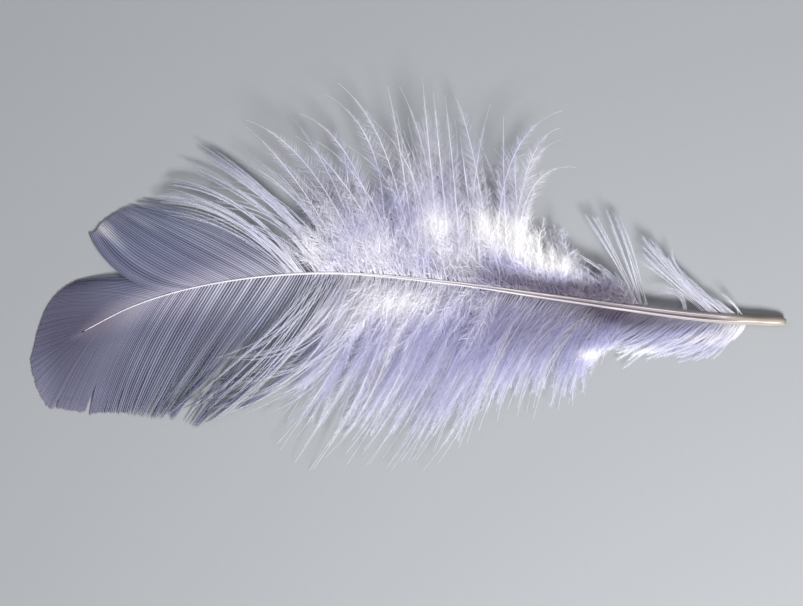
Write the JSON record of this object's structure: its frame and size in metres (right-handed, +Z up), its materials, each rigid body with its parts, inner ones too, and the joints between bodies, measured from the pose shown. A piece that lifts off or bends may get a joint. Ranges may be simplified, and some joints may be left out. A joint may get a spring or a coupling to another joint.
{
  "type": "feather",
  "caption": "White body feather lying flat: a grooved shaft, firm vanes on its outer third, loose down along the rest and small tufts near the quill.",
  "frame": {"origin": "on the surface the feather lies on, under the middle of its bounding box", "axes": "+X along the feather from its tip to the quill's end, +Y towards the vane on the right of the shaft, +Z up"},
  "size_m": [0.1206, 0.0646, 0.0089],
  "materials": {
    "shaft": "smooth, slightly translucent horn, cream at the bare quill and white along the vane",
    "vane": "fine parallel barbs with a soft sheen, greyish white",
    "down": "loose white fibres, matt and slightly translucent"
  },
  "bodies": {
    "root": {"shaft": "shaft", "right_vane": "vane", "left_vane": "vane", "right_down": "down", "left_down": "down", "right_split_tuft": "down", "right_base_tuft": "down"}
  },
  "joints": []
}
